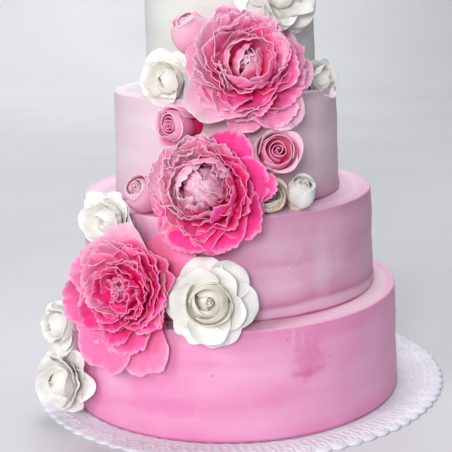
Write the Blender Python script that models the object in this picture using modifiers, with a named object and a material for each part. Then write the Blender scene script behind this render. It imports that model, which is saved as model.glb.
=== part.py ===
"""Four-tier wedding cake with sugar peonies, roses and rosebuds, on a scalloped cake card.

Metres, +Z up. The origin is the middle of the card's underside, and the flowers climb the front, which
faces -Y. Petals are worked out in millimetres in their flower's own frame, and turned to metres where their
points are made.
"""

import math
import random
from collections import namedtuple

import bmesh
import bpy
from mathutils import Matrix, Vector
from mathutils.bvhtree import BVHTree

MM = 0.001
# Space between pieces that touch
GAP = 0.0003
# Room that a petal leaves round it, in millimetres, when it gives way to a flower beside it
PETAL_GAP = 0.35

# The card that the cake is iced down to
CARD_RADIUS = 0.1912
CARD_THICKNESS = 0.003
SCALLOP_COUNT = 80
SCALLOP_DEPTH = 0.0026
POINTS_PER_SCALLOP = 3

# The four tiers, from the bottom: (middle radius, height, centre), each set down a little off the one below
TIERS = (
    (0.1500, 0.0945, (-0.0046, -0.0114)),
    (0.1305, 0.0860, (-0.0063, -0.0073)),
    (0.0987, 0.0912, (-0.0057, -0.0123)),
    (0.0735, 0.0940, (-0.0001, -0.0114)),
)
TIER_FLARE = 0.0012
TIER_EDGE = 0.0014
TIER_SIDES = 48
# Points closer than this are one point, in metres
WELD = 0.00001

# Sugar petals
PETAL_THICKNESS = 1.3
PETAL_ROWS = 2
# A petal's width at its foot as a share of its full width, and how soon it widens
FOOT_WIDTH = 0.42
WIDENING = 1.2
# Its ruffles fan out from a point this share of its length behind its foot, and lean out by FAN_SPREAD
FAN_ROOT = 0.15
FAN_SPREAD = 1.2
# How unlike each other the petals of a ring are: degrees either way, and share of their length
UNEVEN_DEGREES = 6
UNEVEN_LENGTH = 0.06
# Every other petal of a ring lies this share of the flower's radius inside its neighbours
LAP = 0.07
CORE_SIDES = 7
CORE_RINGS = 5
# How a petal gives way to a flower beside it: degrees that it is raised by, and the share of its length kept
GIVING_WAY = (
    (0, 1.0),
    (10, 1.0),
    (20, 1.0),
    (0, 0.86),
    (14, 0.86),
    (0, 0.72),
    (14, 0.72),
    (28, 0.72),
    (10, 0.6),
)
# Edges sharper than this many degrees stay sharp
SHARP_EDGE = 50

# Colours as linear values
HOT_PINK = (0.86, 0.05, 0.25)
MID_PINK = (0.80, 0.22, 0.40)
DUSTY_PINK = (0.78, 0.40, 0.54)
SUGAR_WHITE = (0.83, 0.81, 0.76)
TIER_COLOURS = ((0.80, 0.28, 0.50), (0.74, 0.42, 0.56), (0.74, 0.56, 0.62), (0.80, 0.79, 0.74))
CARD_WHITE = (0.72, 0.70, 0.80)
ICING_ROUGHNESS = 0.5
CARD_ROUGHNESS = 0.45
SUGAR_ROUGHNESS = 0.55

# azimuth, the way that the petal points; start and rise, where its foot is; length, foot and lip, its
# length and its lean from the flower's axis at either end; half_width; cup, the radius that it is cupped
# to; ruffle, waves and phase, the swing of its rim; drop, how far its corners fall short of its lip;
# columns, how finely it is made
PETAL_FIELDS = "azimuth start rise length foot lip half_width cup ruffle waves phase drop columns"
Petal = namedtuple("Petal", PETAL_FIELDS)

# A flower: its petals' function, the radius it is made to, the tier, bearing and height of its seat, how
# far the seat stands off the tier, the bearing and elevation that it faces, its turn about its own axis,
# and its colour
Flower = namedtuple("Flower", "make radius tier bearing height stand_off faces raised turn colour")


def clear_scene():
    for obj in list(bpy.data.objects):
        bpy.data.objects.remove(obj, do_unlink=True)


def new_collection(name):
    collection = bpy.data.collections.new(name)
    bpy.context.scene.collection.children.link(collection)
    return collection


def sugar_material(name, colour, roughness):
    material = bpy.data.materials.new(name)
    material.use_nodes = True
    shader = material.node_tree.nodes["Principled BSDF"]
    shader.inputs["Base Color"].default_value = (*colour, 1.0)
    shader.inputs["Roughness"].default_value = roughness
    shader.inputs["Metallic"].default_value = 0.0
    return material


def add_object(name, mesh, collection, material=None):
    obj = bpy.data.objects.new(name, mesh)
    collection.objects.link(obj)
    if material:
        mesh.materials.append(material)
    return obj


def settled_mesh(obj):
    """The object's mesh with its modifiers applied."""
    graph = bpy.context.evaluated_depsgraph_get()
    graph.update()
    return bpy.data.meshes.new_from_object(obj.evaluated_get(graph))


# Tiers and card


def tier_base(index):
    """Height of a tier's underside; each stands a gap above what carries it."""
    height = CARD_THICKNESS + GAP
    for _, tier_height, _ in TIERS[:index]:
        height += tier_height + GAP
    return height


def tier_outline(index, grow=0.0):
    """Half section of a tier, from its top centre down its side to its bottom centre."""
    radius, height, _ = TIERS[index]
    bottom = tier_base(index) - grow
    top = tier_base(index) + height + grow
    top_radius = radius - TIER_FLARE + grow
    return [
        (0.0, top),
        (top_radius - TIER_EDGE, top),
        (top_radius, top - TIER_EDGE),
        (radius + TIER_FLARE + grow, bottom),
        (0.0, bottom),
    ]


def turned(name, outline, centre, collection, material=None):
    """A turned solid: a half section carried round the upright through centre by a Screw modifier."""
    mesh = bpy.data.meshes.new(name)
    points = [(radius, 0.0, height) for radius, height in outline]
    edges = [(i, i + 1) for i in range(len(points) - 1)]
    mesh.from_pydata(points, edges, [])
    obj = add_object(name, mesh, collection, material)
    obj.location = (centre[0], centre[1], 0.0)
    screw = obj.modifiers.new("Turn", "SCREW")
    screw.axis = "Z"
    screw.steps = screw.render_steps = TIER_SIDES
    screw.use_merge_vertices = True
    screw.merge_threshold = WELD
    screw.use_smooth_shade = True
    return obj


def add_tiers(collection):
    for index, colour in enumerate(TIER_COLOURS):
        icing = sugar_material(f"icing_{index + 1}", colour, ICING_ROUGHNESS)
        turned(f"tier_{index + 1}", tier_outline(index), TIERS[index][2], collection, icing)


def add_cutters(collection):
    """What the flowers are cut back to: each tier and the card, grown by the gap to them."""
    cutters = []
    for index, (_, _, centre) in enumerate(TIERS):
        cutters.append(turned(f"cut_tier_{index + 1}", tier_outline(index, GAP), centre, collection))
    top = CARD_THICKNESS + GAP
    disc = [(0.0, top), (CARD_RADIUS + GAP, top), (CARD_RADIUS + GAP, 0.0), (0.0, 0.0)]
    cutters.append(turned("cut_card", disc, (0.0, 0.0), collection))
    for cutter in cutters:
        cutter.hide_render = True
        cutter.display_type = "WIRE"
    return cutters


def add_card(collection):
    """A flat card whose rim is a run of shallow scallops."""
    curve = bpy.data.curves.new("cake_card", "CURVE")
    curve.dimensions = "2D"
    curve.fill_mode = "BOTH"
    curve.extrude = CARD_THICKNESS / 2
    count = SCALLOP_COUNT * POINTS_PER_SCALLOP
    spline = curve.splines.new("POLY")
    spline.points.add(count - 1)
    spline.use_cyclic_u = True
    for i, point in enumerate(spline.points):
        angle = 2 * math.pi * i / count
        swell = abs(math.sin(math.pi * i / POINTS_PER_SCALLOP))
        radius = CARD_RADIUS - SCALLOP_DEPTH * (1 - swell)
        point.co = (radius * math.cos(angle), radius * math.sin(angle), 0.0, 1.0)
    curve.materials.append(sugar_material("card_white", CARD_WHITE, CARD_ROUGHNESS))
    obj = bpy.data.objects.new("cake_card", curve)
    obj.location = (0.0, 0.0, CARD_THICKNESS / 2)
    collection.objects.link(obj)


# Petals


def petal_point(petal, across, along):
    """A point of a petal's middle surface in its flower's frame, in metres.

    across runs from -1 to 1 over the petal's width, and along from 0 at its foot to 1 at its lip.
    """
    share = along * (1 - petal.drop * abs(across) ** 3)
    foot, lip = math.radians(petal.foot), math.radians(petal.lip)
    lean = foot + (lip - foot) * share
    radial = petal.start + petal.length * (math.cos(foot) - math.cos(lean)) / (lip - foot)
    height = petal.rise + petal.length * (math.sin(lean) - math.sin(foot)) / (lip - foot)
    spread = FOOT_WIDTH + (1 - FOOT_WIDTH) * math.sin(min(1.0, WIDENING * along) * math.pi / 2)
    bend = across * petal.half_width * spread / petal.cup
    fan = math.atan2(FAN_SPREAD * across, along + FAN_ROOT)
    edge = along * (along**2 + abs(across) ** 3) / 2
    inward = petal.cup * (1 - math.cos(bend))
    inward += petal.ruffle * edge * math.sin(petal.waves * fan + petal.phase)
    radial -= math.cos(lean) * inward
    height += math.sin(lean) * inward
    sideways = petal.cup * math.sin(bend)
    turn = math.radians(petal.azimuth)
    x = radial * math.cos(turn) - sideways * math.sin(turn)
    y = radial * math.sin(turn) + sideways * math.cos(turn)
    return Vector((x, y, height)) * MM


def lapped(index, radius, start, rise, foot, lip):
    """Where the foot of a ring's petal is: every other petal is moved in, square to its own surface."""
    step = LAP * radius * (index % 2)
    lean = math.radians((foot + lip) / 2)
    return start * radius - step * math.cos(lean), rise * radius + step * math.sin(lean)


def whorl(
    draw, radius, count, turn, start, rise, length, foot, lip, half_width, cup,
    ruffle=0.03, drop=0.3, columns=3,
):
    """Petals evenly round the flower, each a little unlike the others.

    Lengths are shares of the flower's radius, and the angles are degrees.
    """
    petals = []
    for i in range(count):
        foot_start, foot_rise = lapped(i, radius, start, rise, foot, lip)
        petals.append(
            Petal(
                azimuth=turn + 360 * i / count + draw.uniform(-UNEVEN_DEGREES, UNEVEN_DEGREES),
                start=foot_start,
                rise=foot_rise,
                length=length * radius * draw.uniform(1 - UNEVEN_LENGTH, 1 + UNEVEN_LENGTH),
                foot=foot,
                lip=lip + draw.uniform(-UNEVEN_DEGREES, UNEVEN_DEGREES),
                half_width=half_width * radius,
                cup=cup * radius,
                ruffle=ruffle * radius,
                waves=3.0,
                phase=draw.uniform(0, 2 * math.pi),
                drop=drop,
                columns=columns,
            )
        )
    return petals


def spread_petals(draw, radius, shapes, start, rise, cup, ruffle, drop=0.3, columns=3):
    """Outer petals placed one by one: (azimuth, length, foot lean, lip lean, half width)."""
    petals = []
    for i, (azimuth, length, foot, lip, half_width) in enumerate(shapes):
        foot_start, foot_rise = lapped(i, radius, start, rise, foot, lip)
        petals.append(
            Petal(
                azimuth=azimuth,
                start=foot_start,
                rise=foot_rise,
                length=length * radius,
                foot=foot,
                lip=lip,
                half_width=half_width * radius,
                cup=cup * radius,
                ruffle=ruffle * radius,
                waves=5.0,
                phase=draw.uniform(0, 2 * math.pi),
                drop=drop,
                columns=columns,
            )
        )
    return petals


def petal_mesh(petal):
    """A petal as a grid moved onto its surface, split into triangles first so that both its faces match."""
    grid = bmesh.new()
    bmesh.ops.create_grid(grid, x_segments=petal.columns, y_segments=PETAL_ROWS, size=1.0)
    for vertex in grid.verts:
        vertex.co = petal_point(petal, vertex.co.x, (vertex.co.y + 1) / 2)
    bmesh.ops.triangulate(grid, faces=grid.faces)
    mesh = bpy.data.meshes.new("petal")
    grid.to_mesh(mesh)
    grid.free()
    return mesh


def scaled_core(name, shares, flower_radius):
    """The solid heart that a flower's petals are fixed to: an egg about the flower's axis.

    shares are its radius, height and middle over the flower's radius, which is in millimetres.
    """
    radius, height, middle = (share * flower_radius for share in shares)
    ball = bmesh.new()
    bmesh.ops.create_uvsphere(ball, u_segments=CORE_SIDES, v_segments=CORE_RINGS, radius=1.0)
    for vertex in ball.verts:
        x, y, z = vertex.co
        vertex.co = Vector((x * radius, y * radius, middle + z * height / 2)) * MM
    mesh = bpy.data.meshes.new(name)
    ball.to_mesh(mesh)
    ball.free()
    return mesh


# Flowers: each function gives the petals, and the core's radius, height and middle


def peony_full(draw, radius):
    """Deep pink and full, its lowest petals hanging over the edge of the tier below."""
    petals = whorl(
        draw, radius, count=4, turn=50, start=0.16, rise=0.36, length=0.80, foot=58, lip=-10,
        half_width=0.36, cup=0.56, columns=2,
    )
    petals += whorl(
        draw, radius, count=6, turn=10, start=0.22, rise=0.20, length=1.08, foot=82, lip=10,
        half_width=0.44, cup=0.82,
    )
    shapes = (
        (286, 1.62, 52, 120, 0.48),
        (250, 1.64, 56, 116, 0.52),
        (214, 1.34, 66, 104, 0.50),
        (172, 1.24, 76, 78, 0.50),
        (130, 1.12, 80, 76, 0.46),
        (88, 1.10, 82, 86, 0.46),
        (40, 1.56, 78, 98, 0.56),
        (2, 1.06, 76, 60, 0.46),
    )
    petals += spread_petals(draw, radius, shapes, start=0.22, rise=0.16, cup=1.15, ruffle=0.07)
    return petals, (0.46, 1.20, 0.06)


def peony_closed(draw, radius):
    """A closed pale ball held by ruffled petals, with wide deep pink ones to the right and below."""
    petals = whorl(
        draw, radius, count=4, turn=35, start=0.10, rise=0.46, length=0.92, foot=58, lip=-44,
        half_width=0.40, cup=0.44, columns=2,
    )
    petals += whorl(
        draw, radius, count=6, turn=0, start=0.22, rise=0.20, length=1.10, foot=80, lip=2,
        half_width=0.44, cup=0.80,
    )
    shapes = (
        (8, 1.20, 70, 84, 0.50),
        (54, 1.18, 78, 74, 0.50),
        (100, 1.14, 84, 50, 0.50),
        (146, 1.14, 84, 42, 0.50),
        (196, 1.12, 78, 70, 0.48),
        (240, 1.20, 62, 94, 0.50),
        (284, 1.24, 58, 100, 0.50),
        (326, 1.16, 66, 90, 0.50),
    )
    petals += spread_petals(draw, radius, shapes, start=0.22, rise=0.12, cup=1.2, ruffle=0.07)
    return petals, (0.46, 1.30, 0.00)


def peony_open(draw, radius):
    """Mid pink with an open heart, and smooth pale petals spread behind it."""
    petals = whorl(
        draw, radius, count=4, turn=0, start=0.16, rise=0.32, length=0.84, foot=60, lip=-12,
        half_width=0.40, cup=0.50, columns=2,
    )
    petals += whorl(
        draw, radius, count=6, turn=15, start=0.24, rise=0.16, length=1.12, foot=84, lip=14,
        half_width=0.45, cup=0.86,
    )
    shapes = (
        (220, 1.46, 76, 86, 0.54),
        (264, 1.16, 72, 86, 0.44),
        (306, 1.38, 72, 94, 0.50),
        (350, 1.18, 80, 76, 0.46),
        (36, 1.16, 82, 70, 0.48),
        (82, 1.16, 84, 78, 0.48),
        (128, 1.16, 84, 72, 0.48),
        (176, 1.18, 82, 70, 0.48),
    )
    petals += spread_petals(draw, radius, shapes, start=0.24, rise=0.08, cup=1.25, ruffle=0.05)
    return petals, (0.46, 1.20, 0.02)


def rose_open(draw, radius):
    """A rose blown open: a heart, a cup round it, and six petals spread flat to blunt points."""
    petals = whorl(
        draw, radius, count=2, turn=10, start=0.06, rise=0.24, length=0.56, foot=40, lip=-16,
        half_width=0.32, cup=0.30, columns=2,
    )
    petals += whorl(
        draw, radius, count=4, turn=40, start=0.14, rise=0.14, length=0.74, foot=66, lip=22,
        half_width=0.42, cup=0.58, columns=2,
    )
    shapes = (
        (105, 0.98, 68, 92, 0.46),
        (48, 0.98, 68, 96, 0.40),
        (355, 1.02, 68, 94, 0.46),
        (290, 0.98, 68, 96, 0.44),
        (232, 0.96, 68, 92, 0.42),
        (176, 0.96, 68, 88, 0.44),
    )
    petals += spread_petals(draw, radius, shapes, start=0.14, rise=0.04, cup=1.1, ruffle=0.03, drop=0.36)
    return petals, (0.30, 1.30, -0.15)


def rose_small(draw, radius):
    """A small white rose: a tight heart in a cup, and five petals that roll away from it."""
    petals = whorl(
        draw, radius, count=3, turn=40, start=0.10, rise=0.20, length=0.98, foot=62, lip=6,
        half_width=0.56, cup=0.50, columns=2,
    )
    petals += whorl(
        draw, radius, count=5, turn=10, start=0.14, rise=0.06, length=1.06, foot=70, lip=78,
        half_width=0.48, cup=0.95, ruffle=0.05, columns=2,
    )
    return petals, (0.40, 1.30, 0.10)


def rose_half(draw, radius):
    """A rose half open: four petals stand away from its heart."""
    petals = whorl(
        draw, radius, count=2, turn=0, start=0.08, rise=0.30, length=0.98, foot=44, lip=-14,
        half_width=0.50, cup=0.46, columns=2,
    )
    petals += whorl(
        draw, radius, count=4, turn=30, start=0.14, rise=0.06, length=1.30, foot=74, lip=8,
        half_width=0.56, cup=0.80, ruffle=0.05, columns=2,
    )
    return petals, (0.46, 1.50, 0.16)


def rosebud(draw, radius):
    """A closed bud: three petals wrapped round a spindle."""
    petals = whorl(
        draw, radius, count=3, turn=60, start=0.22, rise=0.00, length=2.20, foot=62, lip=-18,
        half_width=0.95, cup=0.92, ruffle=0.04, drop=0.2, columns=2,
    )
    return petals, (0.78, 2.30, 0.15)


FLOWERS = {
    "bud_top": Flower(rosebud, 17.0, 4, -16.5, 0.3120, 9, -54, 59, 0, "dusty"),
    "bud_spiral": Flower(rosebud, 14.5, 3, -16.0, 0.2555, 5, -44, 8, 20, "mid"),
    "bud_right": Flower(rosebud, 15.5, 3, 21.5, 0.2260, 5, 8, 26, 40, "mid"),
    "bud_blush": Flower(rosebud, 12.0, 3, 19.5, 0.1905, 7, -8, 30, 10, "white"),
    "bud_white": Flower(rosebud, 13.5, 3, 31.0, 0.1875, 11, 22, 55, 0, "white"),
    "bud_left": Flower(rosebud, 16.0, 3, -34.5, 0.1905, 9, -36, 38, 0, "dusty"),
    "rose_front": Flower(rose_open, 31.5, 2, -6.0, 0.1200, 15, -3, 16, 0, "white"),
    "rose_top": Flower(rose_small, 30.0, 4, 27.0, 0.3550, 5, 22, 6, 0, "white"),
    "peony_middle": Flower(peony_closed, 39.0, 3, -8.5, 0.2045, 10, -6, 14, 0, "hot"),
    "peony_lower": Flower(peony_full, 40.0, 2, -33.0, 0.1240, 5, -22, 12, 0, "hot"),
    "peony_upper": Flower(peony_open, 39.5, 4, 7.5, 0.2940, 7, 6, 22, 0, "mid"),
    "rose_shoulder": Flower(rose_small, 25.0, 4, -35.5, 0.2875, 5, -26, 4, 0, "white"),
    "rose_rim": Flower(rose_small, 23.5, 2, -42.0, 0.1780, 4, -32, 12, 30, "white"),
    "rose_ledge": Flower(rose_half, 21.0, 1, -62.0, 0.0835, 7, -42, 10, 0, "white"),
    "rose_low": Flower(rose_small, 26.0, 1, -60.5, 0.0350, 9, -42, 4, 50, "white"),
    "rose_behind": Flower(rose_half, 18.0, 4, 62.0, 0.2810, 2, 50, 6, 20, "white"),
}


def flower_frame(flower):
    """Z runs along the flower's axis, Y upwards, and X to the right of someone who looks at its face."""
    radius, _, centre = TIERS[flower.tier - 1]
    bearing = math.radians(flower.bearing)
    reach = radius + flower.stand_off * MM
    outward = Vector((math.sin(bearing), -math.cos(bearing), 0.0))
    seat = Vector((*centre, flower.height)) + reach * outward
    faces, raised = math.radians(flower.faces), math.radians(flower.raised)
    level = Vector((math.sin(faces), -math.cos(faces), 0.0)) * math.cos(raised)
    axis = level + Vector((0.0, 0.0, math.sin(raised)))
    right = Vector((math.cos(faces), math.sin(faces), 0.0))
    stance = Matrix((right, axis.cross(right), axis)).transposed().to_4x4()
    return Matrix.Translation(seat) @ stance @ Matrix.Rotation(math.radians(flower.turn), 4, "Z")


def add_petal(petal, collection, room=0.0):
    """A closed petal of its full thickness, with so many millimetres of room added all round it."""
    grown = petal._replace(half_width=petal.half_width + room, length=petal.length + room)
    piece = add_object("petal", petal_mesh(grown), collection)
    shell = piece.modifiers.new("Thickness", "SOLIDIFY")
    shell.thickness = (PETAL_THICKNESS + 2 * room) * MM
    shell.offset = 0.0
    return piece


def placed_tree(mesh, frame):
    """The mesh's faces in their place, for finding what crosses them."""
    corners = [frame @ vertex.co for vertex in mesh.vertices]
    return BVHTree.FromPolygons(corners, [face.vertices[:] for face in mesh.polygons])


def giving_way(petal, collection, frame, obstacles):
    """The petal, raised or shortened until it is clear of the flowers beside it, or None if it can't be."""
    for raised, share in GIVING_WAY:
        bent = petal._replace(foot=petal.foot - raised, lip=petal.lip - raised, length=petal.length * share)
        probe = add_petal(bent, collection, PETAL_GAP)
        mesh = settled_mesh(probe)
        tree = placed_tree(mesh, frame)
        bpy.data.objects.remove(probe, do_unlink=True)
        bpy.data.meshes.remove(mesh)
        if not any(tree.overlap(obstacle) for obstacle in obstacles):
            return bent
    return None


def keep_largest(mesh):
    """Drops the inner skins of hollows that a union sealed, and loose scraps that a cut left."""
    work = bmesh.new()
    work.from_mesh(mesh)
    left = set(work.verts)
    shells = []
    while left:
        front = [left.pop()]
        shell = list(front)
        while front:
            for edge in front.pop().link_edges:
                for vertex in edge.verts:
                    if vertex in left:
                        left.discard(vertex)
                        shell.append(vertex)
                        front.append(vertex)
        shells.append(shell)
    shells.sort(key=len)
    scraps = [vertex for shell in shells[:-1] for vertex in shell]
    bmesh.ops.delete(work, geom=scraps, context="VERTS")
    work.to_mesh(mesh)
    work.free()


def apply_boolean(obj, operation, operand):
    """Joins or cuts obj by an object or a whole collection, and keeps the one body that is left."""
    modifier = obj.modifiers.new(operation.title(), "BOOLEAN")
    modifier.operation = operation
    modifier.solver = "MANIFOLD"
    if isinstance(operand, bpy.types.Collection):
        modifier.operand_type = "COLLECTION"
        modifier.collection = operand
    else:
        modifier.object = operand
    mesh = settled_mesh(obj)
    obj.modifiers.clear()
    old = obj.data
    obj.data = mesh
    bpy.data.meshes.remove(old)
    keep_largest(mesh)


def add_flower(name, collection, cutters, material, obstacles):
    """Petals and core joined by one union, stood on the cake and cut back to the tiers that it leans on."""
    flower = FLOWERS[name]
    frame = flower_frame(flower)
    petals, core = flower.make(random.Random(name), flower.radius)
    loose = new_collection(f"{name}_petals")
    fitted = [giving_way(petal, loose, frame, obstacles) for petal in petals]
    for petal in filter(None, fitted):
        add_petal(petal, loose)
    obj = add_object(name, scaled_core(name, core, flower.radius), collection, material)
    apply_boolean(obj, "UNION", loose)
    for piece in list(loose.objects):
        bpy.data.objects.remove(piece, do_unlink=True)
    bpy.data.collections.remove(loose)
    obj.matrix_world = frame
    bpy.context.view_layer.update()
    for cutter in cutters:
        apply_boolean(obj, "DIFFERENCE", cutter)
    obj.data.shade_smooth()
    obj.data.set_sharp_from_angle(angle=math.radians(SHARP_EDGE))
    return obj


def add_flowers(collection, cutters):
    """Flowers in the order in which they hold their ground: later ones give way to earlier ones."""
    colours = {"hot": HOT_PINK, "mid": MID_PINK, "dusty": DUSTY_PINK, "white": SUGAR_WHITE}
    materials = {}
    for name, colour in colours.items():
        materials[name] = sugar_material(f"sugar_{name}", colour, SUGAR_ROUGHNESS)
    solids = {}
    for name, flower in FLOWERS.items():
        _, core = flower.make(random.Random(name), flower.radius)
        mesh = scaled_core(name, core, flower.radius)
        solids[name] = placed_tree(mesh, flower_frame(flower))
        bpy.data.meshes.remove(mesh)
    for name, flower in FLOWERS.items():
        others = [solid for other, solid in solids.items() if other != name]
        obj = add_flower(name, collection, cutters, materials[flower.colour], others)
        solids[name] = placed_tree(obj.data, obj.matrix_world)


def main():
    clear_scene()
    cake = new_collection("wedding_cake")
    cutters = add_cutters(new_collection("cutters"))
    add_card(cake)
    add_tiers(cake)
    add_flowers(cake, cutters)


main()
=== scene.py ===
"""Finish of a four-tier buttercream wedding cake with sugar-paste peonies, roses and rosebuds on a card.

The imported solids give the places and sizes. Each tier, the card and each flower is remade here as a finer
mesh in the same place: icing with the marks of the spatula, a pressed paper rim, and petals rolled thin and
frilled. Petals are worked out in millimetres in their flower's own frame; the rest is in metres, +Z up.
"""

import math
import random
from dataclasses import dataclass, replace
from functools import partial

import bpy
import numpy as np
from mathutils import Matrix, Vector
from mathutils.bvhtree import BVHTree


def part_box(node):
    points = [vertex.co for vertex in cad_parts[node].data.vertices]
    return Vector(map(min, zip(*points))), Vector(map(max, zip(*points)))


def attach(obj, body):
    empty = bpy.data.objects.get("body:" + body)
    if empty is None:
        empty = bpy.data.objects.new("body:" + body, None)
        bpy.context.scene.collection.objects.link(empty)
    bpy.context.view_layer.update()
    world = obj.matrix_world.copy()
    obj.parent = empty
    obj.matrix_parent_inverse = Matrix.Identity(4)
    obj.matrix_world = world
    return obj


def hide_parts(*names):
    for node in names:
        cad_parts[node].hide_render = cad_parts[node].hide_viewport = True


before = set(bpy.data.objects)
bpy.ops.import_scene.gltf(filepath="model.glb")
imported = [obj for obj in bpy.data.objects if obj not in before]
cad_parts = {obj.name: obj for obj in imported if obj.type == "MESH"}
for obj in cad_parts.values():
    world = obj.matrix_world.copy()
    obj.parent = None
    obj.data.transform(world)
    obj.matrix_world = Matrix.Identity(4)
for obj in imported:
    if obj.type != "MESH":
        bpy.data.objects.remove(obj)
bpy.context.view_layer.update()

MM = 0.001
TURN = 2 * math.pi

# The photograph's frame, and the camera that took it
PHOTO_SIDE = 452
FOCAL_PIXELS = 1084.45
SENSOR = 36
CAMERA_PLACE = (-0.003, -0.9725, 0.3826)
CAMERA_PITCH, CAMERA_YAW, CAMERA_ROLL = 0.24, -0.0056, -0.0307

# The tiers taper by this much either side of their middle radius, and their top edge is rounded
TIER_FLARE = 0.0012
TIER_EDGE = 0.0013
TIER_COLUMNS = 300
TIER_ROWS = 30
# Rings on a tier's ledge: shares of its radius, then millimetres in from the side
LEDGE_SHARES = (0.2, 0.4, 0.6)
LEDGE_INSETS = (24, 18, 13, 9, 6, 4, 2.6, 1.6)

# The card's rim: scallops, how deep they are cut, and columns to each
SCALLOP_COUNT = 80
SCALLOP_DEPTH = 0.0026
SCALLOP_STEPS = 16

# A petal's outline as in the solids: its foot's share of the full width, how soon it is full, and the fan
# that its ruffles follow; every second petal steps back by LAP of the flower's radius
FOOT_WIDTH = 0.42
WIDENING = 1.2
FAN_ROOT = 0.15
FAN_SPREAD = 1.2
LAP = 0.07
# Thickness of rolled sugar paste at a petal's foot and at its thinned rim, in millimetres
FOOT_THICKNESS = 1.1
RIM_THICKNESS = 0.5
# Rows of a petal crowd towards its rim by this power
ROW_CROWDING = 1.35
# Columns and rows of the grids for wide outer petals and for petals wrapped round a bud
WIDE_GRID = {"columns": 40, "rows": 15}
WRAPPED_GRID = {"columns": 36, "rows": 16}
# The finish of the crumpled petals that stand behind a peony's heart
CRUMPLED = {"ruffle": 0.07, "frill": 0.018, "crinkle": 0.045, "notch": 0.03}
# Seeds that the petals' uneven rims draw from
SEEDS = 100000
# Petal measures that are given as shares of the flower's radius
SHARES = ("ruffle", "frill", "crinkle", "spiral")
# What each petal's points carry for the paste's material, and its place in a part
ATTRIBUTES = (
    (1, "rim", "FLOAT", "value"),
    (2, "tone", "FLOAT", "value"),
    (3, "grain", "FLOAT_VECTOR", "vector"),
)
# Where a petal's four colours lie, from its foot to its rim
DUST_PLACES = (0.0, 0.45, 0.92, 1.0)
# How a petal gives way to a flower beside it: degrees raised, share of its length kept
GIVING_WAY = (
    (0, 1.0), (8, 1.0), (16, 1.0), (26, 1.0), (0, 0.88), (14, 0.88), (28, 0.9), (0, 0.76), (18, 0.78),
    (32, 0.8), (0, 0.64), (20, 0.66), (38, 0.7), (10, 0.52), (36, 0.56),
)


# Camera, light and stage


def put_in(name, data):
    """An object of the data, in the scene."""
    item = bpy.data.objects.new(name, data)
    bpy.context.scene.collection.objects.link(item)
    return item


def place_camera():
    """The camera of the photograph, as a position and three small turns."""
    camera = put_in("camera", bpy.data.cameras.new("camera"))
    stance = Matrix.Translation(CAMERA_PLACE)
    for angle, axis in ((-CAMERA_YAW, "Z"), (math.pi / 2 - CAMERA_PITCH, "X"), (CAMERA_ROLL, "Z")):
        stance = stance @ Matrix.Rotation(angle, 4, axis)
    camera.matrix_world = stance
    camera.data.sensor_width = SENSOR
    camera.data.lens = SENSOR * FOCAL_PIXELS / PHOTO_SIDE
    bpy.context.scene.camera = camera


def soft_light(name, place, target, size, watts, colour):
    lamp = bpy.data.lights.new(name, "AREA")
    lamp.shape = "DISK"
    lamp.size = size
    lamp.energy = watts
    lamp.color = linear(colour)[:3]
    light = put_in(name, lamp)
    light.location = place
    light.rotation_euler = (Vector(target) - Vector(place)).to_track_quat("-Z", "Y").to_euler()


def light_studio():
    """A big soft window at the left, softer lights in front, overhead and on the wall, in a pale room."""
    middle = (0.0, -0.05, 0.18)
    soft_light("window", (-2.0, -1.9, 1.6), middle, 1.4, 34, "#FFFFFC")
    soft_light("skylight", (0.1, 0.25, 1.7), (0.05, 0.05, 0.2), 1.1, 16, "#FFFFFF")
    soft_light("front_fill", (-0.3, -1.95, 0.88), middle, 0.6, 21, "#FFFFFD")
    soft_light("wall_wash", (-0.4, 2.3, 1.6), (-0.35, 2.8, 0.25), 2.0, 25, "#FFFFFF")
    world = bpy.data.worlds.new("pale_room")
    world.use_nodes = True
    sky = world.node_tree.nodes["Background"]
    sky.inputs["Color"].default_value = linear("#E6E9F2")
    sky.inputs["Strength"].default_value = 0.10
    bpy.context.scene.world = world
    bpy.context.scene.view_settings.view_transform = "Standard"


def lay_floor():
    """A pale table top that ends, far behind the cake, in a soft curve up to a pale wall."""
    reach, back, bend, top, steps = 5.0, 2.1, 0.7, 3.2, 12
    profile = [(-reach, 0.0), (back, 0.0)]
    for step in range(1, steps + 1):
        angle = math.pi / 2 * step / steps
        profile.append((back + bend * math.sin(angle), bend * (1 - math.cos(angle))))
    profile.append((back + bend, top))
    points = [(x, y, z) for y, z in profile for x in (-reach, reach)]
    faces = [(2 * i, 2 * i + 1, 2 * i + 3, 2 * i + 2) for i in range(len(profile) - 1)]
    mesh = new_mesh("table_and_wall", points, faces)
    mesh.materials.append(painted_board())
    put_in("table_and_wall", mesh)


# Materials


def linear(colour):
    """An sRGB hex colour as linear values."""
    parts = [int(colour[i : i + 2], 16) / 255 for i in (1, 3, 5)]
    return (*(c / 12.92 if c <= 0.04045 else ((c + 0.055) / 1.055) ** 2.4 for c in parts), 1.0)


def fill(tree, node, inputs):
    """Sets a node's inputs, each to a value, a hex colour or the output that it links from."""
    for name, value in inputs.items():
        if isinstance(value, bpy.types.NodeSocket):
            tree.links.new(value, node.inputs[name])
        else:
            node.inputs[name].default_value = linear(value) if isinstance(value, str) else value


def add_node(tree, kind, inputs=None, stops=None, give=0, **settings):
    """Adds a node with its settings, inputs and colour stops; gives one output, or the node for None."""
    node = tree.nodes.new(f"ShaderNode{kind}")
    for name, value in settings.items():
        setattr(node, name, value)
    fill(tree, node, inputs or {})
    if stops:
        elements = node.color_ramp.elements
        while len(elements) < len(stops):
            elements.new(1.0)
        for element, (place, colour) in zip(elements, stops):
            element.position = place
            if isinstance(colour, tuple):
                element.color = (*linear(colour[0])[:3], colour[1])
            else:
                element.color = linear(colour) if isinstance(colour, str) else (colour, colour, colour, 1.0)
    return node if give is None else node.outputs[give]


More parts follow.
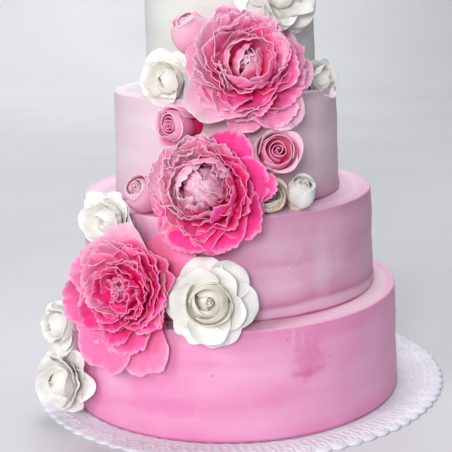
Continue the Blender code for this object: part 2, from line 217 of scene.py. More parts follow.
def new_material(name):
    """A material with a Principled shader, a function that adds nodes, and one that sets the shader."""
    material = bpy.data.materials.new(name)
    material.use_nodes = True
    tree = material.node_tree
    return material, partial(add_node, tree), partial(fill, tree, tree.nodes["Principled BSDF"])


def clouded(add, place, scale, low, high):
    """A colour that drifts between two in soft clouds."""
    cloud = add("TexNoise", {"Vector": place, "Scale": scale, "Detail": 3.0})
    return add("ValToRGB", {"Fac": cloud}, [(0.3, low), (0.7, high)])


def painted_board():
    """Matt white paint, a touch uneven: the plain stage."""
    material, add, finish = new_material("painted_board")
    place = add("TexCoord", give="Object")
    finish({"Base Color": clouded(add, place, 3.0, "#D3D5D9", "#DADCE0"), "Roughness": 0.7})
    return material


def coated_card():
    """White board under a pressed film: smooth and faintly lilac, with a light sheen."""
    material, add, finish = new_material("coated_card")
    place = add("TexCoord", give="Object")
    fibre = add("TexNoise", {"Vector": place, "Scale": 900.0, "Detail": 2.0})
    relief = add("Bump", {"Height": fibre, "Strength": 0.15, "Distance": 0.0003})
    colour = clouded(add, place, 60.0, "#E6E6F2", "#F2F3FA")
    finish({"Base Color": colour, "Roughness": 0.42, "Normal": relief})
    return material


def buttercream(name, deep, body, pale, ledge, hem_and_seam_shade, tier, marks):
    """Chilled buttercream, smoothed with a warm spatula: a soft waxy gloss, faint bands where the colours
    were dragged round, small air pits, and flecks of undissolved dye. hem is the run of colours up from the
    foot, each a share of the height, a colour and its strength; its darker colour at the very foot is painted
    shade at the seam where the tier stands. marks are smears and scratches on the front, and soft patches of
    painted shadow under the flowers, in millimetres: x, height, half width, half height, tilt in degrees,
    colour and strength."""
    material, add, finish = new_material(name)
    low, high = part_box(tier)
    centre, reach = (low + high) / 2, (high.x - low.x) / 2
    place = add("TexCoord", give="Object")
    parts = add("SeparateXYZ", {"Vector": place}, give=None).outputs
    flat = add("CombineXYZ", {"X": parts["X"], "Y": parts["Y"]})
    out = add("VectorMath", {0: flat, 1: (centre.x, centre.y, 0.0)}, give="Value", operation="DISTANCE")
    # Bands dragged round the tier: some 25 mm high on the side and 6 mm wide on the ledge
    steps = add("CombineXYZ", {"X": out, "Z": parts["Z"]})
    round_tier = add("VectorMath", {0: steps, 1: (100.0, 0.0, 42.0)}, operation="MULTIPLY")
    sway = add("VectorMath", {0: flat, 1: (7.0, 7.0, 7.0)}, operation="MULTIPLY")
    dragged = add("VectorMath", {0: round_tier, 1: sway}, operation="ADD")
    bands = add("TexNoise", {"Vector": dragged, "Scale": 1.0, "Detail": 2.0, "Roughness": 0.4})
    clouds = add("TexNoise", {"Vector": place, "Scale": 14.0, "Detail": 3.0, "Roughness": 0.5})
    blend = add("Mix", {"Factor": 0.45, "A": bands, "B": clouds}, give="Result")
    colour = add("ValToRGB", {"Fac": blend}, [(0.34, deep), (0.50, body), (0.66, pale)])

    def mixed(factor, over):
        return add("Mix", {"Factor": factor, "A": colour, "B": over}, give="Result", data_type="RGBA")

    # The run of colours up from the foot, its edges uneven; the darker colour at the very foot is painted
    # shade at the seam
    uneven = add("MapRange", {"Value": clouds, "To Min": -0.004, "To Max": 0.004})
    wavy = add("Math", {0: parts["Z"], 1: uneven}, operation="ADD")
    up = add("MapRange", {"Value": wavy, "From Min": low.z, "From Max": high.z})
    stops = [(share, (tint, power)) for share, tint, power in hem_and_seam_shade]
    run = add("ValToRGB", {"Fac": up}, stops, give=None).outputs
    colour = mixed(run["Alpha"], run["Color"])
    # The ledge keeps more of one colour than the scraped side, with paler streaks that are painted highlights
    near_top = {"From Min": high.z - 1.6 * MM, "From Max": high.z - 0.4 * MM}
    on_ledge = add("MapRange", {"Value": parts["Z"], **near_top})
    colour = mixed(on_ledge, add("ValToRGB", {"Fac": bands}, [(0.40, ledge[0]), (0.62, ledge[1])]))
    # Smears and scratches, and soft patches of painted shadow under the flowers, their edges broken
    ragged = add("TexNoise", {"Vector": place, "Scale": 190.0, "Detail": 3.0})
    broken = add("MapRange", {"Value": ragged, "To Min": -0.55, "To Max": 0.55})
    for x, height, half_width, half_height, tilt, smear_and_shadow, strength in marks:
        bearing = math.asin((x * MM - centre.x) / reach)
        ellipse = {
            "Vector": place,
            "Location": (x * MM, centre.y - reach * math.cos(bearing), height * MM),
            "Rotation": (0.0, math.radians(tilt), bearing),
            "Scale": (half_width * MM, 0.02, half_height * MM),
        }
        spot = add("Mapping", ellipse, vector_type="TEXTURE")
        away = add("VectorMath", {0: spot}, give="Value", operation="LENGTH")
        edge = add("Math", {0: away, 1: broken}, operation="ADD")
        cover = add("MapRange", {"Value": edge, "From Min": 1.15, "From Max": 0.35, "To Max": strength})
        colour = mixed(cover, smear_and_shadow)
    # Flecks of dye under a millimetre across
    fleck = add("TexVoronoi", {"Vector": place, "Scale": 70.0})
    colour = mixed(add("ValToRGB", {"Fac": fleck}, [(0.03, 0.4), (0.05, 0.0)]), deep)
    gloss = add("ValToRGB", {"Fac": bands}, [(0.35, 0.36), (0.65, 0.50)])
    # Air pits half a millimetre across, the drag of the blade, and its finer lines
    pit = add("TexVoronoi", {"Vector": place, "Scale": 130.0})
    pitted = add("ValToRGB", {"Fac": pit}, [(0.04, 0.0), (0.10, 1.0)])
    fine = add("TexNoise", {"Vector": dragged, "Scale": 7.0, "Detail": 5.0})
    relief = add("Bump", {"Height": fine, "Strength": 0.3, "Distance": 0.0007})
    relief = add("Bump", {"Height": pitted, "Strength": 0.5, "Distance": 0.0004, "Normal": relief})
    finish(
        {
            "Base Color": colour,
            "Roughness": gloss,
            "Normal": relief,
            "Subsurface Weight": 0.12,
            "Subsurface Radius": (0.004, 0.002, 0.002),
            "Subsurface Scale": 1.0,
        }
    )
    return material


def sugar_paste(name, strong, pale):
    """Rolled sugar paste brushed with petal dust: dry and matt, deep at the foot of the petal where the dust
    lies thick, paler to its thin rim, with fine veins pressed along it. Each of strong and pale is the colour
    at the foot, the body, near the rim and at the rim; the petal's own tone picks between them."""
    material, add, finish = new_material(name)
    rim, tone = (add("Attribute", attribute_name=label, give="Fac") for label in ("rim", "tone"))
    grain = add("Attribute", attribute_name="grain", give="Vector")
    # Dust lies in clouds about 6 mm across
    place = add("TexCoord", give="Object")
    dust = add("TexNoise", {"Vector": place, "Scale": 170.0, "Detail": 3.0, "Roughness": 0.6})
    uneven = add("MapRange", {"Value": dust, "To Min": -0.12, "To Max": 0.12})
    dusted = add("Math", {0: rim, 1: uneven}, operation="ADD", use_clamp=True)
    patchy = add("Math", {0: uneven, 1: 0.5, 2: tone}, operation="MULTIPLY_ADD", use_clamp=True)
    ramps = [add("ValToRGB", {"Fac": dusted}, list(zip(DUST_PLACES, colours))) for colours in (strong, pale)]
    colour = add("Mix", {"Factor": patchy, "A": ramps[0], "B": ramps[1]}, give="Result", data_type="RGBA")
    # Veins: some 40 across a petal, a millimetre or so apart
    drawn = add("Mapping", {"Vector": grain, "Scale": (20.0, 1.6, 1.0)})
    veins = add("TexNoise", {"Vector": drawn, "Scale": 1.0, "Detail": 3.0})
    relief = add("Bump", {"Height": veins, "Strength": 0.35, "Distance": 0.0008})
    finish(
        {
            "Base Color": colour,
            "Roughness": 0.62,
            "Specular IOR Level": 0.22,
            "Normal": relief,
            "Subsurface Weight": 0.1,
            "Subsurface Radius": (0.002, 0.0015, 0.0015),
            "Subsurface Scale": 1.0,
        }
    )
    return material


# Meshes


def new_mesh(name, points, faces):
    mesh = bpy.data.meshes.new(name)
    mesh.from_pydata(points, [], faces)
    mesh.shade_smooth()
    return mesh


def dressed(name, mesh, material, node):
    """Puts a mesh in the scene in place of a solid of the frame."""
    mesh.materials.append(material)
    piece = put_in(name, mesh)
    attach(piece, "root")
    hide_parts(node)


def skin_faces(rows, columns):
    """Faces through rings of points and on to the two that follow them, one on top and one underneath."""
    last = (rows - 1) * columns
    top, under = last + columns, last + columns + 1
    faces = []
    for i in range(columns):
        after = (i + 1) % columns
        faces += [(top, i, after), (under, last + after, last + i)]
        for upper in range(0, last, columns):
            lower = upper + columns
            faces.append((upper + i, lower + i, lower + after, upper + after))
    return faces


def closed_rings(name, rings):
    """A closed skin through rings of points, from the middle of the top to the middle of the underside."""
    points = np.vstack([rings.reshape(-1, 3), rings[0].mean(0), rings[-1].mean(0)])
    return new_mesh(name, points.tolist(), skin_faces(*rings.shape[:2]))


def waver(luck, angle, low, high, size):
    """An uneven line round a circle: waves of low to high turns, the short ones smaller."""
    total = np.zeros_like(angle)
    for turns in range(low, high):
        total += np.sin(turns * angle + luck.uniform(0, TURN)) * luck.uniform(0.3, 1.0) * (low / turns) ** 0.7
    return size * total / np.abs(total).max()


def smooth(value, low, high):
    share = np.clip((value - low) / (high - low), 0, 1)
    return share * share * (3 - 2 * share)


def iced_tier(number, material):
    """A tier with a softly broken top edge, bands left by the scraper, and a pressed band at its foot."""
    name = f"tier_{number}"
    low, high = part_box(name)
    centre = (low + high) / 2
    side = (high.x - low.x) / 2 - 2 * TIER_FLARE
    height = high.z - low.z
    luck = np.random.default_rng(number)
    angle = np.arange(TIER_COLUMNS) * TURN / TIER_COLUMNS
    # Each row: share of the side's radius, height from the foot, and how far the edge's unevenness reaches
    rows = [(share, height, 0.0) for share in LEDGE_SHARES]
    for inset in LEDGE_INSETS:
        rows.append((1 - inset * MM / side, height, smooth(LEDGE_INSETS[0] - inset, 0, LEDGE_INSETS[0])))
    for step in range(1, 7):
        bend = math.pi / 2 * step / 6
        inward, down = TIER_EDGE * (1 - math.sin(bend)), TIER_EDGE * (1 - math.cos(bend))
        rows.append((1 - inward / side, height - down, 1.0))
    for step in range(1, TIER_ROWS + 1):
        down = (height - TIER_EDGE) * step / TIER_ROWS
        share = 1 + 2 * TIER_FLARE * step / TIER_ROWS / side
        rows.append((share, height - TIER_EDGE - down, max(0.0, 1 - down / 0.006)))
    rows += [(1.0 - 1.0 * MM / side, 0.6 * MM, 0.0), (1.0 - 2.4 * MM / side, 0.0, 0.0)]
    edge_height = waver(luck, angle, 5, 60, 0.45 * MM)
    edge_reach = waver(luck, angle, 4, 50, 0.35 * MM)
    band_line = waver(luck, angle, 2, 9, 1.2 * MM)
    ragged_foot = waver(luck, angle, 30, 90, 0.35 * MM) - 0.25 * MM
    rings = []
    for share, z, uneven in rows:
        radius = np.full_like(angle, share * side)
        up = np.full_like(angle, low.z + z)
        if share > 0.9:
            radius += (edge_reach - 0.2 * MM) * uneven
            up += (edge_height - 0.25 * MM) * uneven
        if 0 < z < height - TIER_EDGE:
            sway = 0.25 * np.sin(3 * angle + 90 * z + number) + 0.18 * np.sin(7 * angle - 160 * z)
            sway += 0.12 * np.sin(2 * angle + 420 * z)
            radius += sway * MM * smooth(z, 0, 0.006) * smooth(height - TIER_EDGE - z, 0, 0.01)
            # Where the foot was cleaned off with the blade it stands back a little
            radius += ragged_foot * (1 - smooth(z, 0, 0.0035))
            # The band pressed out at the foot
            radius += 0.5 * MM * smooth(0.009 + band_line - z, 0, 0.003) * smooth(z, 0, 0.0015)
        rings.append(np.stack([centre.x + radius * np.cos(angle), centre.y + radius * np.sin(angle), up], 1))
    rings = np.array(rings)
    rings[..., 2] = np.clip(rings[..., 2], low.z, high.z)
    dressed(f"{name}_icing", closed_rings(name, rings), material, name)


def scalloped_card(material):
    """A round card with a scalloped rim, pressed all round with arches, beads and fine flutes."""
    low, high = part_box("cake_card")
    columns = SCALLOP_COUNT * SCALLOP_STEPS
    angle = np.arange(columns) * TURN / columns
    phase = angle * SCALLOP_COUNT / 2
    rim = (high.x - low.x) / 2 - SCALLOP_DEPTH * (1 - np.abs(np.sin(phase)))

    def ring(radius, up):
        return np.stack([radius * np.cos(angle), radius * np.sin(angle), up * np.ones_like(angle)], 1)

    def from_stud(wave, width, inset, place):
        """How far a point is from the nearest of the studs in a row that lies place in from the rim."""
        return np.hypot(np.arcsin(np.clip(wave, -1, 1)) / (math.pi / 2) * width, inset - place)

    def ridge(away, middle, width):
        return np.exp(-(((away - middle) / width) ** 2))

    rings = []
    for inset in [0.12, 0.08, 0.045, 0.034] + [0.030 - 0.0012 * i for i in range(25)]:
        arch = from_stud(np.cos(phase), 0.0075, inset, 0.009)
        bead = from_stud(np.sin(2 * phase), 0.0037, inset, 0.0215)
        # Arches, one to a scallop, a bead in each, and a row of beads where the pressed rim begins
        relief = 0.8 * ridge(arch, 0.0058, 0.0011) + 0.9 * ridge(arch, 0, 0.0022)
        relief += 0.7 * ridge(bead, 0, 0.0014)
        # Flutes between them, and a line pressed round the inside
        relief += 0.3 * np.sin(4 * phase) * ridge(inset, 0.0165, 0.003) + 0.5 * ridge(inset, 0.0265, 0.0012)
        rings.append(ring(rim - inset, high.z - 0.45 * MM + relief * MM * min(1.0, inset / 0.0025)))
    rings += [ring(rim, high.z - 0.9 * MM), ring(rim, low.z + 0.3 * MM), ring(rim - 0.003, low.z)]
    dressed("cake_card_pressed", closed_rings("cake_card", np.array(rings)), material, "cake_card")


# Petals


@dataclass
class Petal:
    """A petal's place and form in its flower's frame, in millimetres and degrees.

    azimuth is the way it points; start and rise, where its foot is; foot and lip, its lean from the
    flower's axis at either end; cup, the radius that it is cupped to. ruffle is the slow swing of its rim,
    frill the quick one and crinkle the creases all over it. drop and corner shape its lip, notch cuts teeth
    in its rim, roll turns its last part back, spiral tucks one side under its neighbour, and twist opens one
    side more than the other. wrap is how far it goes round the flower's own axis instead of its cup's.
    """

    azimuth: float
    start: float
    rise: float
    length: float
    foot: float
    lip: float
    half_width: float
    cup: float
    waves: float = 3.0
    phase: float = 0.0
    ruffle: float = 0.0
    frill: float = 0.0
    crinkle: float = 0.0
    drop: float = 0.3
    corner: float = 3.0
    notch: float = 0.0
    roll: float = 0.0
    roll_from: float = 0.75
    spiral: float = 0.0
    twist: float = 0.0
    wrap: float = 0.0
    tone: float = 0.0
    seed: int = 0
    columns: int = 30
    rows: int = 12


@dataclass
class Scroll:
    """A strip of paste wound round the flower's axis, in millimetres: turns of it, from inner to outer radius,
    its rim from high down by fall; lean is how far it leans in from its foot; lip, how far its rim opens.
    """

    turns: float
    inner: float
    outer: float
    low: float
    high: float
    fall: float
    lean: float
    lip: float
    turn: float
    tone: float
    seed: int
    columns: int = 72
    rows: int = 8


def teeth(luck, line, count, depth):
    """Uneven teeth along a rim: runs of arcs that meet in notches, as torn or thinned paste has."""
    bent = line + 0.06 * np.sin(5 * line + luck.uniform(0, TURN))
    total = 1 - np.abs(np.sin(bent * count * 1.5 + luck.uniform(0, TURN))) ** 0.7
    total += 0.6 * (1 - np.abs(np.sin(bent * count * 0.6 + luck.uniform(0, TURN))) ** 0.5)
    return depth * total


def petal_sheet(petal):
    """The petal's middle surface as a grid of points, and how near each point is to the rim."""
    luck = np.random.default_rng(petal.seed)
    across = np.linspace(-1, 1, petal.columns + 1)[None, :]
    along = 1 - (1 - np.linspace(0, 1, petal.rows + 1)[:, None]) ** ROW_CROWDING
    side = np.abs(across)
    reach = 1 - petal.drop * side**petal.corner - teeth(luck, across, 9, petal.notch)
    share = along * reach
    turned_back = 1 + 0.5 * np.sin(luck.uniform(2, 4) * across + luck.uniform(0, TURN))
    lean = petal.foot + (petal.lip - petal.foot + petal.twist * across) * share
    lean = lean + petal.roll * turned_back * smooth(share, petal.roll_from, 1.0) ** 1.5
    lean = np.radians(lean)
    step = np.diff(share, axis=0) * petal.length
    between = (lean[1:] + lean[:-1]) / 2
    nothing = np.zeros((1, petal.columns + 1))
    radial = petal.start + np.vstack([nothing, np.cumsum(np.sin(between) * step, 0)])
    height = petal.rise + np.vstack([nothing, np.cumsum(np.cos(between) * step, 0)])
    spread = FOOT_WIDTH + (1 - FOOT_WIDTH) * np.sin(np.minimum(1, WIDENING * along) * math.pi / 2)
    spread = spread * (1 - teeth(luck, 2 * along, 4, petal.notch) * side**6)
    bend = across * petal.half_width * spread / petal.cup
    cup = petal.cup + petal.wrap * (np.maximum(radial, 0.0) - petal.cup)
    fan = np.arctan2(FAN_SPREAD * across, along + FAN_ROOT)
    edge = along * (along**2 + side**3) / 2
    rim = 1 - (1 - along) * (1 - 0.7 * side**4 * smooth(along, 0.1, 0.6))
    cupped = cup * (1 - np.cos(bend))
    inward = petal.ruffle * edge * np.sin(petal.waves * fan + petal.phase)
    quick = np.sin(luck.uniform(9, 14) * fan + luck.uniform(0, TURN) + 2 * along)
    quick = quick + 0.5 * np.sin(luck.uniform(22, 32) * fan + luck.uniform(0, TURN))
    gathered = 1 + 0.7 * np.sin(luck.uniform(4, 7) * fan + luck.uniform(0, TURN))
    inward = inward + petal.frill * rim**5 * quick * gathered
    creases = np.sin(luck.uniform(7, 12) * across + luck.uniform(4, 8) * along + luck.uniform(0, TURN))
    crossing = luck.uniform(6, 11) * along - luck.uniform(3, 7) * across + luck.uniform(0, TURN)
    inward = inward + petal.crinkle * creases * np.sin(crossing) * smooth(along, 0.1, 0.6)
    inward = inward + petal.spiral * across
    radial = radial - np.cos(lean) * (inward + (1 - petal.wrap) * cupped) - petal.wrap * cupped
    height = height + np.sin(lean) * (inward + (1 - petal.wrap) * cupped)
    sideways = cup * np.sin(bend) + petal.frill * 0.6 * rim**4 * np.sin(18 * fan + luck.uniform(0, TURN))
    turn = math.radians(petal.azimuth)
    x = radial * math.cos(turn) - sideways * math.sin(turn)
    y = radial * math.sin(turn) + sideways * math.cos(turn)
    return np.stack([x, y, height], -1), rim * np.ones_like(across)


def scroll_sheet(scroll):
    """The strip's middle surface as a grid of points, and how near each point is to its rim."""
    luck = np.random.default_rng(scroll.seed)
    share = np.linspace(0, 1, scroll.columns + 1)[None, :]
    along = 1 - (1 - np.linspace(0, 1, scroll.rows + 1)[:, None]) ** ROW_CROWDING
    wound = TURN * scroll.turns * share
    pitch = (scroll.outer - scroll.inner) / scroll.turns
    high = scroll.high - scroll.fall * share**1.5 + 0.35 * pitch * np.sin(luck.uniform(2.2, 3.4) * wound)
    height = scroll.low + (high - scroll.low) * along
    radius = scroll.inner + (scroll.outer - scroll.inner) * share
    radius = radius + 0.12 * pitch * np.sin(2.6 * wound + 3 * along)
    radius = radius + scroll.lean * (1 - along**2) + scroll.lip * smooth(along, 0.8, 1.0)
    angle = math.radians(scroll.turn) + wound
    grid = np.stack([radius * np.cos(angle), radius * np.sin(angle), height * np.ones_like(angle)], -1)
    return grid, along * np.ones_like(share)


def grid_faces(rows, columns):
    """Quads over a grid of points, turned to face the way that the back of a petal does."""
    first = (np.arange(rows)[:, None] * (columns + 1) + np.arange(columns)[None, :]).ravel()
    return np.stack([first, first + columns + 1, first + columns + 2, first + 1], 1)


def border(rows, columns):
    """The points round a grid's edge, in order."""
    width = columns + 1
    bottom = list(range(columns))
    right = [row * width + columns for row in range(rows)]
    top = [rows * width + i for i in range(columns, 0, -1)]
    left = [row * width for row in range(rows, 0, -1)]
    return np.array(bottom + right + top + left)


def petal_shell(petal):
    """A closed petal, thin to its rim: points, faces and each point's rim, tone and place along the grain."""
    grid, rim = scroll_sheet(petal) if isinstance(petal, Scroll) else petal_sheet(petal)
    down = np.gradient(grid, axis=0)
    over = np.gradient(grid, axis=1)
    normal = np.cross(down, over)
    normal /= np.linalg.norm(normal, axis=-1, keepdims=True) + 1e-12
    thickness = FOOT_THICKNESS + (RIM_THICKNESS - FOOT_THICKNESS) * rim
    offset = normal * thickness[..., None] / 2
    points = np.concatenate([(grid + offset).reshape(-1, 3), (grid - offset).reshape(-1, 3)])
    count = grid.shape[0] * grid.shape[1]
    quads = grid_faces(petal.rows, petal.columns)
    rim_line = border(petal.rows, petal.columns)
    rim_after = np.roll(rim_line, -1)
    strip = np.stack([rim_line, rim_after, rim_after + count, rim_line + count], 1)
    faces = np.concatenate([quads, quads[:, ::-1] + count, strip])
    across = np.linspace(-1, 1, petal.columns + 1)[None, :] * np.ones_like(rim)
    along = np.linspace(0, 1, petal.rows + 1)[:, None] * np.ones_like(rim)
    grain = np.stack([across, along, np.full_like(rim, petal.seed % 97)], -1).reshape(-1, 3)
    return points, faces, np.tile(rim.ravel(), 2), np.full(2 * count, petal.tone), np.tile(grain, (2, 1))


def heart_shell(radius, height, middle):
    """The egg that a flower's petals are fixed to, as a closed skin."""
    rows, columns = 9, 16
    slope = np.linspace(0, math.pi, rows + 2)[1:-1, None]
    angle = np.arange(columns)[None, :] * TURN / columns
    reach, up = radius * np.sin(slope), middle + height / 2 * np.cos(slope)
    rings = np.stack([reach * np.cos(angle), reach * np.sin(angle), up * np.ones_like(angle)], -1)
    ends = [(0, 0, middle + height / 2), (0, 0, middle - height / 2)]
    return np.vstack([rings.reshape(-1, 3), ends]), skin_faces(rows, columns)


def seated(radius, index, lean, start, rise, length, half_width, cup, **form):
    """A petal with its lengths as shares of the radius; every second one steps back, under its neighbours."""
    step = LAP * radius * (index % 2)
    lean = math.radians(lean)
    scaled = {key: form[key] * radius for key in SHARES if key in form}
    return Petal(
        start=start * radius - step * math.cos(lean),
        rise=rise * radius + step * math.sin(lean),
        length=length * radius,
        half_width=half_width * radius,
        cup=cup * radius,
        **{**form, **scaled},
    )


def whorl(
    draw, radius, count, turn, start, rise, length, foot, lip, half_width, cup, wild=0.5, tone=0.0, **finish
):
    """Petals round the flower, each as unlike the others as wild says; lengths are shares of the radius."""

    def varied(amount):
        return amount * wild * draw.uniform(-1, 1)

    petals = []
    for i in range(count):
        form = {
            "azimuth": turn + 360 * i / count + varied(14),
            "length": length * (1 + varied(0.14)),
            "foot": foot,
            "lip": lip + varied(13),
            "half_width": half_width * (1 + varied(0.2)),
            "twist": varied(14),
            "phase": draw.uniform(0, TURN),
            "seed": draw.randrange(1, SEEDS),
            "tone": tone + varied(0.2),
            "waves": draw.uniform(3, 6),
        }
        petals.append(seated(radius, i, (foot + lip) / 2, start, rise, cup=cup, **{**form, **finish}))
    return petals


def nest(draw, radius, rings, counts, outer, inner, **finish):
    """Rings of petals one inside the other; each ring's form lies between the outer and the inner one's."""
    petals = []
    for ring in range(rings):
        share = ring / (rings - 1)
        form = {key: outer[key] + (inner[key] - outer[key]) * share for key in outer}
        count = round(counts[0] + (counts[1] - counts[0]) * share)
        petals += whorl(draw, radius, count, 180 / counts[0] * ring + 7 * ring, **form, **finish)
    return petals


def blushed(petals, azimuth, tone, length=0.0):
    """The petals with more tone and length on the side that azimuth points to, and less on the other."""
    changed = []
    for petal in petals:
        towards = math.cos(math.radians(petal.azimuth - azimuth))
        longer = petal.length * (1 + length * towards)
        changed.append(replace(petal, tone=petal.tone + tone * towards, length=longer))
    return changed


def spread_petals(draw, radius, shapes, start, rise, cup, **finish):
    """Outer petals placed one by one: (azimuth, length, foot lean, lip lean, half width, tone)."""
    petals = []
    for i, shape in enumerate(shapes):
        form = dict(zip(("azimuth", "length", "foot", "lip", "half_width", "tone"), shape))
        form |= {"waves": draw.uniform(5, 8), "phase": draw.uniform(0, TURN)}
        form["seed"] = draw.randrange(1, SEEDS)
        lean = (form["foot"] + form["lip"]) / 2
        petals.append(seated(radius, i, lean, start, rise, cup=cup, **{**WIDE_GRID, **form, **finish}))
    return petals


# Flowers: each function gives the petals, and the heart's radius, height and middle as shares of the radius


def peony_full(draw, radius):
    """Deep pink and full: a tangle of narrow petals at its heart, and its lowest petals hanging."""
    tangled = dict(wild=2.0, frill=0.012, crinkle=0.03, notch=0.05)
    petals = whorl(
        draw, radius, 7, 0, 0.02, 0.58, 0.44, 12, -8, 0.18, 0.26,
        ruffle=0.07, tone=0.35, columns=22, rows=10, **tangled,
    )
    petals += whorl(
        draw, radius, 9, 15, 0.12, 0.50, 0.52, 34, -4, 0.26, 0.32,
        ruffle=0.09, tone=0.1, columns=26, rows=11, **tangled,
    )
    layers = nest(
        draw, radius, 6, (8, 7),
        dict(start=0.23, rise=0.16, length=1.10, foot=84, lip=44, half_width=0.56, cup=0.85, tone=0.20),
        dict(start=0.14, rise=0.40, length=0.74, foot=56, lip=-10, half_width=0.38, cup=0.44, tone=-0.05),
        wild=1.9, ruffle=0.10, frill=0.018, crinkle=0.026, notch=0.05, roll=30, roll_from=0.74,
    )
    petals += blushed(layers, 170, 0.25)
    shapes = (
        (288, 1.62, 54, 114, 0.60, 0.40),
        (250, 1.66, 58, 112, 0.66, 0.30),
        (214, 1.34, 66, 100, 0.60, 0.35),
        (172, 1.24, 76, 78, 0.54, 0.75),
        (130, 1.16, 80, 66, 0.50, 0.70),
        (88, 1.40, 78, 66, 0.56, 1.0),
        (40, 1.56, 78, 98, 0.56, 0.45),
        (2, 1.06, 76, 60, 0.46, 0.70),
    )
    petals += spread_petals(draw, radius, shapes, 0.22, 0.16, 1.15, ruffle=0.09, frill=0.010, notch=0.02)
    shapes = (
        (268, 1.22, 70, 92, 0.50, 0.25),
        (225, 1.20, 72, 90, 0.52, 0.20),
        (182, 1.12, 76, 72, 0.52, 0.50),
        (138, 1.06, 78, 66, 0.50, 0.45),
        (74, 1.06, 80, 60, 0.50, 0.15),
        (26, 1.08, 78, 64, 0.50, 0.20),
        (326, 1.12, 74, 78, 0.50, 0.40),
    )
    petals += spread_petals(draw, radius, shapes, 0.22, 0.24, 1.0, ruffle=0.08, frill=0.012, notch=0.025)
    return petals, (0.42, 1.10, 0.02)


def peony_closed(draw, radius):
    """A closed pale ball held by frilled petals, with wide deep pink ones to the right and below."""
    petals = whorl(
        draw, radius, 5, 20, 0.10, 0.46, 0.98, 62, -78, 0.44, 0.40, wild=1.3,
        ruffle=0.08, frill=0.022, crinkle=0.040, notch=0.06, tone=0.95, spiral=0.10, wrap=0.4,
    )
    petals += whorl(
        draw, radius, 6, 55, 0.13, 0.42, 1.02, 68, -66, 0.40, 0.42, wild=1.5,
        ruffle=0.09, frill=0.026, crinkle=0.036, notch=0.08, tone=1.0, spiral=0.06, wrap=0.4,
    )
    petals += whorl(
        draw, radius, 7, 35, 0.17, 0.38, 1.02, 72, -52, 0.40, 0.46, wild=1.6,
        ruffle=0.09, frill=0.026, crinkle=0.034, notch=0.08, tone=0.95, spiral=0.05, wrap=0.3,
    )
    layers = nest(
        draw, radius, 5, (8, 8),
        dict(start=0.24, rise=0.14, length=1.08, foot=84, lip=42, half_width=0.54, cup=0.85, tone=0.05),
        dict(start=0.22, rise=0.30, length=1.04, foot=76, lip=-44, half_width=0.48, cup=0.60, tone=0.85),
        wild=1.8, ruffle=0.09, frill=0.020, crinkle=0.026, notch=0.05, roll=26, roll_from=0.76,
    )
    petals += blushed(layers, 155, 0.6, -0.07)
    shapes = (
        (8, 1.20, 70, 84, 0.54, 0.0),
        (54, 1.18, 78, 74, 0.54, 0.0),
        (100, 1.14, 84, 50, 0.50, 0.7),
        (146, 1.14, 84, 42, 0.50, 0.95),
        (196, 0.98, 78, 62, 0.46, 0.2),
        (240, 1.20, 62, 94, 0.52, 0.05),
        (284, 1.24, 58, 100, 0.54, 0.0),
        (326, 1.16, 66, 90, 0.54, 0.0),
    )
    petals += spread_petals(draw, radius, shapes, 0.22, 0.12, 1.2, ruffle=0.07, frill=0.014, notch=0.02)
    shapes = (
        (118, 1.14, 84, 26, 0.46, 0.95),
        (140, 1.10, 82, 10, 0.44, 1.0),
        (164, 1.14, 84, 22, 0.46, 0.95),
        (92, 1.08, 82, 30, 0.44, 0.85),
        (186, 0.94, 82, 36, 0.44, 0.8),
        (128, 1.04, 80, -6, 0.42, 1.0),
        (154, 1.04, 80, -2, 0.42, 1.0),
    )
    petals += spread_petals(draw, radius, shapes, 0.22, 0.24, 0.9, **CRUMPLED)
    return petals, (0.44, 1.20, 0.0)


def peony_open(draw, radius):
    """Mid pink with an open heart, stacked frilled layers, and smooth pale petals spread behind it."""
    petals = whorl(
        draw, radius, 6, 10, 0.04, 0.52, 0.50, 20, -30, 0.26, 0.28, wild=1.6,
        ruffle=0.07, frill=0.010, crinkle=0.035, notch=0.03, tone=0.85,
    )
    petals += whorl(
        draw, radius, 5, 25, 0.12, 0.38, 0.72, 50, -50, 0.42, 0.40, wild=1.2,
        ruffle=0.06, frill=0.010, crinkle=0.025, notch=0.03, tone=0.65,
    )
    petals += whorl(
        draw, radius, 5, 30, 0.20, 0.30, 0.94, 66, -30, 0.54, 0.52, wild=0.8,
        ruffle=0.05, frill=0.010, crinkle=0.016, notch=0.025, tone=0.4, spiral=0.05,
    )
    layers = nest(
        draw, radius, 6, (8, 7),
        dict(start=0.24, rise=0.10, length=1.14, foot=86, lip=52, half_width=0.54, cup=0.95, tone=0.5),
        dict(start=0.21, rise=0.28, length=0.92, foot=74, lip=-22, half_width=0.48, cup=0.60, tone=0.15),
        wild=1.8, ruffle=0.085, frill=0.018, crinkle=0.024, notch=0.05, roll=28, roll_from=0.76,
    )
    petals += blushed(layers, 140, 0.25)
    shapes = (
        (52, 1.16, 84, 34, 0.46, 0.85),
        (78, 1.12, 84, 24, 0.46, 0.7),
        (104, 1.14, 84, 34, 0.46, 0.8),
        (28, 1.12, 84, 36, 0.46, 0.8),
        (6, 1.10, 84, 40, 0.46, 0.6),
    )
    petals += spread_petals(draw, radius, shapes, 0.22, 0.24, 0.9, **CRUMPLED)
    shapes = (
        (220, 1.46, 76, 86, 0.54, 1.0),
        (264, 1.16, 72, 86, 0.44, 0.4),
        (306, 1.38, 72, 94, 0.50, 0.9),
        (350, 1.18, 80, 76, 0.46, 0.6),
        (36, 1.16, 82, 70, 0.48, 0.8),
        (82, 1.16, 84, 78, 0.48, 1.0),
        (128, 1.16, 84, 72, 0.48, 0.9),
        (176, 1.18, 82, 70, 0.48, 0.7),
    )
    petals += spread_petals(draw, radius, shapes, 0.24, 0.08, 1.25, ruffle=0.06, frill=0.006, notch=0.01)
    return petals, (0.42, 1.05, -0.02)


